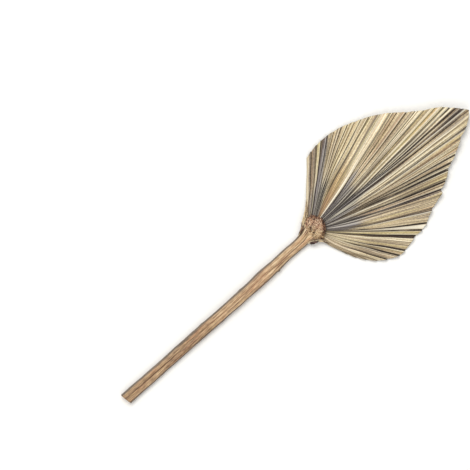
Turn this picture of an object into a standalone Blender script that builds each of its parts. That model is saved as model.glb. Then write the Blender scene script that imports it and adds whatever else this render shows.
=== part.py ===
# Dried fan palm frond: a pleated, spade-shaped leaf blade on its bare stem, lying on its back
# with the upper face of the leaf turned up. Run with: blender --background --python part.py
#
# The model is drawn in millimetres about the hastula, the woody knot where the ribs of the
# leaf meet the stem: +X to the right, +Y towards the leaf tip, +Z up from the resting surface.
# All pieces hang from one empty, which is moved so that the frond's box is centred on the
# world's origin and stands on its floor.

import math

import bmesh
import bpy
from mathutils import Vector

MM = 0.001
GAP = 0.3  # between pieces that grew together, which are kept as separate solids

# --- Petiole (stem) -----------------------------------------------------------------------
# Stations from the cut end to the collar: (y, centre x, width, thickness, rise of underside)
PETIOLE_STATIONS = [
    (-255.0, 8.8, 12.2, 8.6, 0.0),
    (-205.0, 7.6, 11.6, 8.2, 0.0),
    (-165.0, 6.4, 12.0, 8.2, 0.6),
    (-110.0, 4.9, 11.6, 7.8, 1.6),
    (-90.0, 4.2, 12.0, 7.8, 1.7),
    (-72.0, 3.4, 13.0, 8.2, 1.5),
    (-55.0, 2.5, 11.9, 7.6, 1.2),
    (-37.0, 1.7, 10.8, 7.2, 0.8),
    (-20.0, 1.0, 11.4, 7.2, 0.4),
    (-13.0, 0.4, 14.0, 7.6, 0.2),
    (-8.0, -0.2, 17.4, 8.0, 0.0),
    (-3.0, -0.4, 18.4, 8.2, 0.0),
]
# Right half of its section, from the groove in the middle of the top round to the flat
# underside, as shares of the station's width and thickness
PETIOLE_SECTION = [
    (0.00, 0.90),
    (0.12, 0.99),
    (0.28, 0.95),
    (0.42, 0.74),
    (0.50, 0.45),
    (0.45, 0.20),
    (0.33, 0.05),
    (0.18, 0.00),
]
CUT_SLANT = 0.2  # the cut end leans forward by this much for each millimetre to the right

# --- Hastula (knot) -----------------------------------------------------------------------
KNOT_CENTRE_Y = 1.5
KNOT_HALF_WIDTH = 12.0  # to the roots of the ribs
KNOT_HALF_LENGTH = 9.0
KNOT_HEIGHT = 11.5
KNOT_SIDES = 28
# Its rings from the flat underside up: (share of the height, share of the outline)
KNOT_RINGS = [(0.0, 0.80), (0.12, 0.93), (0.4, 1.0), (0.7, 0.95), (0.9, 0.76), (1.0, 0.45)]
KNOT_LUMPS = 0.04  # depth of the hollows round its outline, as a share
KNOT_LUMP_COUNT = 7

# --- Margin curls (dried strips torn from the leaf's two lower margins) -------------------
# Points from the knot outwards and back towards the stem: (x, y, z, radius)
MARGIN_CURLS = {
    "left_margin_curl": [
        (-10.3, -4.6, 5.0, 0.9),
        (-11.6, -6.6, 5.6, 1.0),
        (-11.2, -9.2, 5.6, 0.9),
        (-9.5, -11.6, 4.8, 0.7),
        (-8.0, -13.4, 3.8, 0.3),
    ],
    "right_margin_curl": [
        (10.7, -4.2, 5.4, 1.1),
        (12.7, -5.9, 6.4, 1.3),
        (13.3, -8.5, 6.8, 1.2),
        (12.2, -11.0, 6.2, 1.0),
        (10.4, -12.9, 5.0, 0.7),
        (8.9, -14.2, 3.8, 0.3),
    ],
}
CURL_BEVEL_RESOLUTION = 2

# --- Blade (leaf) -------------------------------------------------------------------------
# Spread of each leaflet at the rim, in degrees, from the left margin round to the right one
LEAFLET_SPREADS = [
    *(4.0, 4.0, 3.0, 4.0, 3.0, 3.5, 3.0, 3.0, 2.5, 3.0),
    *(4.0, 3.5, 2.0, 3.0, 2.3, 2.2, 2.2, 1.8, 1.5, 1.3),
    *(1.5, 1.7, 3.5, 2.0, 4.2, 2.1, 1.7, 4.0, 2.7, 7.8),
    *(7.0, 3.5, 3.5, 9.5, 4.0, 5.5, 4.5, 4.0, 4.0, 3.5, 3.5),
]
LEFT_MARGIN_ANGLE = -57.5  # of the rim's left end, seen from the hastula, clockwise from +Y
CREST_LEAN = 0.33  # the crests lean away from the tip by up to this share of a leaflet
CREST_LEAN_ANGLE = 12.0  # reached this far round from the tip
# Trimmed rim, clockwise from the left corner: (angle, reach from the hastula)
RIM = [
    (-57.5, 71.0),
    (-40.0, 98.0),
    (-29.0, 115.0),
    (-12.0, 147.0),
    (-8.0, 158.0),
    (-4.0, 174.5),
    (-2.0, 180.0),
    (2.4, 193.5),
    (6.0, 181.5),
    (8.0, 170.5),
    (12.0, 158.5),
    (16.0, 145.0),
    (20.0, 138.5),
    (23.3, 130.5),
    (24.6, 131.5),
    (26.0, 127.5),
    (30.4, 118.5),
    (38.0, 110.8),
    (41.0, 106.5),
    (45.5, 98.5),
    (48.0, 97.0),
    (58.0, 88.5),
    (63.0, 79.8),
    (72.8, 58.5),
    (84.0, 30.0),
]
TIP_LIFT = 6.5  # of the creases above the surface; the corners of the rim rest on it
LIFT_STARTS_AT = 95.0  # reach from which the rim rises towards the tip
CROWN_LEFT_ANGLE = -108.0  # of the first and the last rib's root, round the knot's outline
CROWN_RIGHT_ANGLE = 116.0
CROWN_BY_COUNT = 0.5  # roots are spaced half by count and half by the leaflets' spread
CROWN_Z = 3.4  # underside of the creases at their roots
SHEET_THICKNESS = 0.8
FOLD_DEPTH_AT_KNOT = 2.2
FOLD_DEPTH_AT_RIM = 5.4
FOLD_DEPTH_REACH = 120.0  # from the knot to where the folds reach their full depth
FOLD_BY_WIDTH = 1.1  # a fold stays below this share of its leaflet's width at that place
# How far the ribs bend to the right on their way: (angle at the rim, distance)
RIB_BOW = [
    (-57.5, 0.9),
    (-47.0, 1.2),
    (-40.0, -0.3),
    (-34.0, -2.4),
    (-25.0, -3.0),
    (-20.0, 0.2),
    (-16.0, 2.8),
    (-12.0, 2.2),
    (-4.2, 3.6),
    (2.6, 0.4),
    (7.0, 3.0),
    (12.2, 1.6),
    (16.0, 0.4),
    (20.0, 1.5),
    (30.5, 3.5),
    (41.0, 0.6),
    (59.0, 1.7),
    (64.0, 3.4),
    (72.0, 2.6),
    (84.0, 0.0),
]
RIB_BOW_EASE = 0.62  # below 1, they bend furthest before the middle of their length
RIB_ROWS = [0.0, 0.05, 0.12, 0.22, 0.34, 0.48, 0.62, 0.76, 0.88, 1.0]

# Base colour and roughness of each piece
FINISHES = {
    "petiole": ((0.50, 0.33, 0.18), 0.65),
    "hastula": ((0.42, 0.22, 0.12), 0.85),
    "blade": ((0.58, 0.47, 0.28), 0.75),
    "margin_curl": ((0.16, 0.11, 0.07), 0.80),
}


def clear_scene():
    for obj in list(bpy.data.objects):
        bpy.data.objects.remove(obj, do_unlink=True)


def new_collection(name):
    collection = bpy.data.collections.new(name)
    bpy.context.scene.collection.children.link(collection)
    return collection


def plant_material(name):
    colour, roughness = FINISHES[name]
    material = bpy.data.materials.new(name)
    material.use_nodes = True
    shader = material.node_tree.nodes["Principled BSDF"]
    shader.inputs["Base Color"].default_value = (*colour, 1.0)
    shader.inputs["Roughness"].default_value = roughness
    shader.inputs["Metallic"].default_value = 0.0
    return material


def new_object(name, bm, collection):
    """A mesh object from a shape that was drawn in millimetres."""
    bmesh.ops.scale(bm, vec=(MM, MM, MM), verts=bm.verts)
    bmesh.ops.recalc_face_normals(bm, faces=bm.faces)
    mesh = bpy.data.meshes.new(name)
    bm.to_mesh(mesh)
    bm.free()
    mesh.shade_smooth()
    mesh.set_sharp_from_angle(angle=math.radians(30))
    obj = bpy.data.objects.new(name, mesh)
    collection.objects.link(obj)
    return obj


def loft(rings):
    """A body through rings of points, closed by a face at each end."""
    bm = bmesh.new()
    verts = [[bm.verts.new(point) for point in ring] for ring in rings]
    for ring, following in zip(verts, verts[1:]):
        for i in range(len(ring)):
            j = (i + 1) % len(ring)
            bm.faces.new((ring[i], ring[j], following[j], following[i]))
    bm.faces.new(verts[0])
    bm.faces.new(verts[-1])
    return bm


# --- Petiole ------------------------------------------------------------------------------
def petiole_ring(station):
    y, centre_x, width, thickness, rise = station
    slant = CUT_SLANT if station == PETIOLE_STATIONS[0] else 0.0
    left_half = [(-x, z) for x, z in reversed(PETIOLE_SECTION[1:])]
    return [
        (centre_x + x * width, y + slant * x * width, rise + z * thickness)
        for x, z in PETIOLE_SECTION + left_half
    ]


def make_knot_cutter(collection):
    """What the collar keeps clear of: the knot's outline, grown to the ribs' roots."""
    bm = bmesh.new()
    bmesh.ops.create_cone(
        bm, cap_ends=True, segments=48, radius1=1.0, radius2=1.0, depth=4.0 * KNOT_HEIGHT
    )
    bmesh.ops.scale(bm, vec=(KNOT_HALF_WIDTH, KNOT_HALF_LENGTH, 1.0), verts=bm.verts)
    bmesh.ops.translate(bm, vec=(0.0, KNOT_CENTRE_Y, 0.0), verts=bm.verts)
    cutter = new_object("knot_cutter", bm, collection)
    cutter.hide_render = True
    cutter.display_type = "WIRE"
    return cutter


def make_petiole(collection, cutter):
    petiole = new_object("petiole", loft(map(petiole_ring, PETIOLE_STATIONS)), collection)
    clear_knot = petiole.modifiers.new("clear_knot", "BOOLEAN")
    clear_knot.operation = "DIFFERENCE"
    clear_knot.object = cutter
    return petiole


# --- Hastula ------------------------------------------------------------------------------
def knot_ring(height, scale):
    ring = []
    for i in range(KNOT_SIDES):
        angle = math.tau * i / KNOT_SIDES
        lump = 1.0 - KNOT_LUMPS * (0.5 + 0.5 * math.sin(KNOT_LUMP_COUNT * angle))
        x = (KNOT_HALF_WIDTH - GAP) * scale * lump * math.cos(angle)
        y = (KNOT_HALF_LENGTH - GAP) * scale * lump * math.sin(angle)
        ring.append((x, KNOT_CENTRE_Y + y, KNOT_HEIGHT * height))
    return ring


def make_hastula(collection):
    return new_object("hastula", loft(knot_ring(*ring) for ring in KNOT_RINGS), collection)


# --- Margin curls -------------------------------------------------------------------------
def make_margin_curl(name, points, collection):
    curve = bpy.data.curves.new(name, "CURVE")
    curve.dimensions = "3D"
    curve.bevel_depth = MM
    curve.bevel_resolution = CURL_BEVEL_RESOLUTION
    curve.use_fill_caps = True
    spline = curve.splines.new("POLY")
    spline.points.add(len(points) - 1)
    for target, (x, y, z, radius) in zip(spline.points, points):
        target.co = (x * MM, y * MM, z * MM, 1.0)
        target.radius = radius
    curl = bpy.data.objects.new(name, curve)
    collection.objects.link(curl)
    return curl


# --- Blade --------------------------------------------------------------------------------
def fold_lines():
    """Each crease and crest: (rim angle, root angle, leaflet's spread, 1 for a crest or 0)."""
    spread = sum(LEAFLET_SPREADS)
    lines = []
    rim_angle = LEFT_MARGIN_ANGLE
    for i, width in enumerate(LEAFLET_SPREADS):
        lean = max(-1.0, min(1.0, (rim_angle + width / 2) / CREST_LEAN_ANGLE))
        crest = 0.5 - CREST_LEAN * lean
        lines.append((rim_angle, i, width, 0.0))
        lines.append((rim_angle + crest * width, i + crest, width, 1.0))
        rim_angle += width
    lines.append((rim_angle, len(LEAFLET_SPREADS), width, 0.0))
    found = []
    for rim_angle, count, width, crest in lines:
        by_spread = (rim_angle - LEFT_MARGIN_ANGLE) / spread
        by_count = count / len(LEAFLET_SPREADS)
        share = by_spread + CROWN_BY_COUNT * (by_count - by_spread)
        root_angle = CROWN_LEFT_ANGLE + share * (CROWN_RIGHT_ANGLE - CROWN_LEFT_ANGLE)
        found.append((*map(math.radians, (rim_angle, root_angle, width)), crest))
    return found


def at_angle(table, rim_angle):
    """The value between two rows of a table that goes by the angle at the rim."""
    degrees = min(math.degrees(rim_angle), table[-1][0])
    for (low, near), (high, far) in zip(table, table[1:]):
        if degrees <= high:
            return near + (far - near) * (degrees - low) / (high - low)


def sheet_point(rim_angle, root_angle, spread, crest, t):
    """Underside of the sheet on one fold line, a share t of the way from root to rim."""
    root = Vector((KNOT_HALF_WIDTH * math.sin(root_angle), 0.0, 0.0))
    root.y = KNOT_CENTRE_Y + KNOT_HALF_LENGTH * math.cos(root_angle)
    reach = at_angle(RIM, rim_angle)
    rim = Vector((reach * math.sin(rim_angle), reach * math.cos(rim_angle), 0.0))
    run = rim - root
    to_the_right = Vector((run.y, -run.x, 0.0)).normalized()
    bow = at_angle(RIB_BOW, rim_angle) * math.sin(math.pi * t**RIB_BOW_EASE)
    point = root + run * t + to_the_right * bow
    from_knot = math.hypot(point.x, point.y - KNOT_CENTRE_Y)
    opening = min(1.0, from_knot / FOLD_DEPTH_REACH)
    fold = FOLD_DEPTH_AT_KNOT + (FOLD_DEPTH_AT_RIM - FOLD_DEPTH_AT_KNOT) * opening
    fold = 1.0 / (1.0 / fold + 1.0 / (FOLD_BY_WIDTH * spread * from_knot))
    tip_reach = max(reach for _, reach in RIM)
    lift = TIP_LIFT * max(0.0, reach - LIFT_STARTS_AT) / (tip_reach - LIFT_STARTS_AT)
    ease = t * t * (3.0 - 2.0 * t)
    point.z = CROWN_Z + (lift - CROWN_Z) * ease + crest * fold
    return point


def make_blade(collection):
    bm = bmesh.new()
    grid = [[bm.verts.new(sheet_point(*line, t)) for t in RIB_ROWS] for line in fold_lines()]
    for left, right in zip(grid, grid[1:]):
        for i in range(len(RIB_ROWS) - 1):
            bm.faces.new((left[i], left[i + 1], right[i + 1], right[i]))
    upper = bmesh.ops.extrude_face_region(bm, geom=bm.faces[:])["geom"]
    raised = [part for part in upper if isinstance(part, bmesh.types.BMVert)]
    bmesh.ops.translate(bm, vec=(0.0, 0.0, SHEET_THICKNESS), verts=raised)
    return new_object("blade", bm, collection)


def centre_on_base(pieces, hastula_point):
    """Moves the shared parent so that the frond's box is centred over the origin."""
    bpy.context.view_layer.update()
    graph = bpy.context.evaluated_depsgraph_get()
    corners = []
    for piece in pieces:
        shape = piece.evaluated_get(graph)
        corners += [shape.matrix_world @ Vector(corner) for corner in shape.bound_box]
    low = [min(corner[k] for corner in corners) for k in range(3)]
    high = [max(corner[k] for corner in corners) for k in range(3)]
    hastula_point.location = (-(low[0] + high[0]) / 2, -(low[1] + high[1]) / 2, -low[2])


def main():
    clear_scene()
    frond = new_collection("dried_palm_frond")
    cutters = new_collection("cutters")
    hastula_point = bpy.data.objects.new("hastula_point", None)
    frond.objects.link(hastula_point)

    cutter = make_knot_cutter(cutters)
    cutter.parent = hastula_point
    curls = [make_margin_curl(name, path, frond) for name, path in MARGIN_CURLS.items()]
    pieces = [make_petiole(frond, cutter), make_hastula(frond), make_blade(frond)]
    for piece in pieces:
        piece.data.materials.append(plant_material(piece.name))
    curl_material = plant_material("margin_curl")
    for curl in curls:
        curl.data.materials.append(curl_material)
    for piece in pieces + curls:
        piece.parent = hastula_point
    centre_on_base(pieces, hastula_point)


main()
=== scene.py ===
# Dried fan palm frond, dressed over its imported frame: the pleated blade, the knot, the bare stem
# and the shrivelled strips beside the knot, on a pale floor in soft light.
import math
import random

import bpy
import numpy as np
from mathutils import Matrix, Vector, noise


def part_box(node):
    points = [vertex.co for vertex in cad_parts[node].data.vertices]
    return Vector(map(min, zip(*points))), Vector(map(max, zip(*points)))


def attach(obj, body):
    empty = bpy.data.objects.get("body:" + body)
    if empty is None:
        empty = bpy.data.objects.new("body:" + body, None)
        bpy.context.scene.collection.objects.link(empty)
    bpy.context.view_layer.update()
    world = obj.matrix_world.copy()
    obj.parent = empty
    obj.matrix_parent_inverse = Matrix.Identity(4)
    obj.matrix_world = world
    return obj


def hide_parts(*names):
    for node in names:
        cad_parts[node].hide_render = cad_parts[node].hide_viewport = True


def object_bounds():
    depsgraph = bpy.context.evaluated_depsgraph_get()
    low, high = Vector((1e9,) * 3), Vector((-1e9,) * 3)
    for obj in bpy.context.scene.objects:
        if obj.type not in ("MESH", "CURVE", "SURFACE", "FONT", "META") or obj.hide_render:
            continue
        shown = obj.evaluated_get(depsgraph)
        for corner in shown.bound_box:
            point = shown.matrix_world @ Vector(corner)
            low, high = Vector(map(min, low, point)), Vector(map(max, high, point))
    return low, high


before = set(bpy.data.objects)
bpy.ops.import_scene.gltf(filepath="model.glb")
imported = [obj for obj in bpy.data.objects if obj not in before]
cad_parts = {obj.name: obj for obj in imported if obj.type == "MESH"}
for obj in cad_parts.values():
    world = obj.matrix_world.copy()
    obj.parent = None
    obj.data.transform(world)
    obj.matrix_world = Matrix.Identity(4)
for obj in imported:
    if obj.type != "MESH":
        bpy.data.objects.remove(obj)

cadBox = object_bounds()
mm = 0.001

# Everything is drawn in millimetres about the knot's middle: x to the right, y to the leaf's tip
knotLow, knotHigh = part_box("hastula")
knotTopEdge = 10.2  # of the knot, ahead of the point that the drawing starts from
origin = Vector(((knotLow.x + knotHigh.x) / 2, knotHigh.y - knotTopEdge * mm, cadBox[0].z))
print("frame loaded, knot at", [round(c, 4) for c in origin])


# Shader tools
def tint(red, green, blue):  # a screen colour, 0 to 255, as linear light
    screen = [c / 255 for c in (red, green, blue)]
    return (*[c / 12.92 if c <= 0.04045 else ((c + 0.055) / 1.055) ** 2.4 for c in screen], 1.0)


class Wire:  # a socket of a material; sums on it add Math nodes
    def __init__(self, paint, socket):
        self.paint, self.socket = paint, socket

    def maths(self, operation, *values):
        return self.paint.node("ShaderNodeMath", {"operation": operation}, dict(enumerate(values)))

    def __add__(self, other):
        return self.maths("ADD", self, other)

    def __sub__(self, other):
        return self.maths("SUBTRACT", self, other)

    def __rsub__(self, other):
        return self.maths("SUBTRACT", other, self)

    def __mul__(self, other):
        return self.maths("MULTIPLY", self, other)

    def __abs__(self):
        return self.maths("ABSOLUTE", self)

    __radd__, __rmul__ = __add__, __mul__


class Paint:  # one material and the nodes in it
    def __init__(self, name):
        self.material = bpy.data.materials.new(name)
        self.material.use_nodes = True
        self.tree = self.material.node_tree
        self.shader = self.tree.nodes["Principled BSDF"]

    def node(self, kind, settings=None, sockets=None, out=0):
        made = self.tree.nodes.new(kind)
        for key, value in (settings or {}).items():
            if key == "stops":
                while len(made.color_ramp.elements) < len(value):
                    made.color_ramp.elements.new(1.0)
                for stop, (place, colour) in zip(made.color_ramp.elements, value):
                    stop.position, stop.color = place, colour
            else:
                setattr(made, key, value)
        for key, value in (sockets or {}).items():
            self.plug(made, key, value)
        shown = [socket for socket in made.outputs if socket.enabled]
        return Wire(self, shown[out] if isinstance(out, int) else made.outputs[out])

    def plug(self, made, key, value):
        shown = [socket for socket in made.inputs if socket.enabled]
        target = shown[key] if isinstance(key, int) else next(s for s in shown if s.name == key)
        if isinstance(value, Wire):
            self.tree.links.new(value.socket, target)
        else:
            target.default_value = value

    def uv(self, name):  # both numbers of a map
        place = self.node("ShaderNodeUVMap", {"uv_map": name})
        return [self.node("ShaderNodeSeparateXYZ", {}, {0: place}, out) for out in (0, 1)]

    def vector(self, x, y, z=0.0):
        return self.node("ShaderNodeCombineXYZ", {}, {0: x, 1: y, 2: z})

    def grain(self, place, scale=1.0, detail=2.0, rough=0.5, twist=0.0):
        sockets = {"Vector": place, "Scale": scale, "Detail": detail, "Roughness": rough}
        return self.node("ShaderNodeTexNoise", {}, {**sockets, "Distortion": twist})

    def ease(self, value, low, high, start=0.0, end=1.0):
        sockets = {0: value, 1: low, 2: high, 3: start, 4: end}
        return self.node("ShaderNodeMapRange", {"interpolation_type": "SMOOTHSTEP"}, sockets)

    def ramp(self, value, *stops):  # each stop is its place, red, green and blue
        stops = [(place, tint(*colour)) for place, *colour in stops]
        return self.node("ShaderNodeValToRGB", {"stops": stops}, {"Fac": value})

    def mix(self, share, under, over, blend="MIX"):
        settings = {"data_type": "RGBA", "blend_type": blend}
        return self.node("ShaderNodeMix", settings, {"Factor": share, "A": under, "B": over})

    def bump(self, height, distance, strength):
        return self.node("ShaderNodeBump", {}, {
            "Height": height, "Distance": distance * mm, "Strength": strength})

    def wear(self, colour, roughness, normal=None):
        self.plug(self.shader, "Base Color", colour)
        self.plug(self.shader, "Roughness", roughness)
        if normal:
            self.plug(self.shader, "Normal", normal)
        return self.material


# Mesh tools
def flowing(table, places):  # a smooth curve through a table's rows, read at many places
    table, places = np.array(table, float), np.asarray(places, float)
    at, values = table[:, 0], table[:, 1:]
    slopes = np.gradient(values, at, axis=0)
    i = np.clip(np.searchsorted(at, places) - 1, 0, len(at) - 2)
    width = (at[i + 1] - at[i])[:, None]
    t = np.clip((places - at[i])[:, None] / width, 0, 1)
    low, high = values[i], values[i + 1]
    rise = t * t * (3 - 2 * t)
    return (low + (high - low) * rise + slopes[i] * width * (t * (1 - t) ** 2)
            - slopes[i + 1] * width * (t * t * (1 - t)))


def triples(*parts):  # x, y and z of every place in a grid
    return np.stack(np.broadcast_arrays(*parts), -1)


def wobble(points, seed):  # smooth noise from about -1 to 1 at each point
    flat = np.asarray(points, float).reshape(-1, 3)
    found = [noise.noise(Vector(p) + Vector((seed, seed * 1.7, seed * 2.3))) for p in flat]
    return np.array(found).reshape(np.asarray(points).shape[:-1]) * 1.6


def smoothstep(low, high, value):
    t = np.clip((value - low) / (high - low), 0, 1)
    return t * t * (3 - 2 * t)


def ringFaces(rings, sides, upward=True):
    # quads between rings of points and a face over either end; upward when the last ring is on top
    faces = []
    for start in range(0, (rings - 1) * sides, sides):
        for j in range(sides):
            a, b = start + j, start + (j + 1) % sides
            faces.append((a + sides, b + sides, b, a) if upward else (b, b + sides, a + sides, a))
    first, last = tuple(range(sides)), tuple(range((rings - 1) * sides, rings * sides))
    return faces + ([first, last[::-1]] if upward else [first[::-1], last])


def single(values):  # a map that carries one number
    return np.column_stack([values, np.zeros(len(values))])


def newPiece(name, points, faces, material, replaced, maps):
    mesh = bpy.data.meshes.new(name)
    mesh.from_pydata((np.asarray(points) * mm + np.array(origin)).tolist(), [], faces)
    corner = np.empty(len(mesh.loops), np.int32)
    mesh.loops.foreach_get("vertex_index", corner)
    for mapName, values in maps.items():
        values = np.asarray(values, np.float32)
        perCorner = values if len(values) == len(corner) else values[corner]
        layer = mesh.uv_layers.new(name=mapName, do_init=False)
        layer.uv.foreach_set("vector", perCorner.ravel())
    mesh.materials.append(material)
    mesh.shade_smooth()
    piece = bpy.data.objects.new(name, mesh)
    bpy.context.collection.objects.link(piece)
    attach(piece, "root")
    if replaced:
        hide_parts(replaced)
    print(name, len(faces), "faces")


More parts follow.
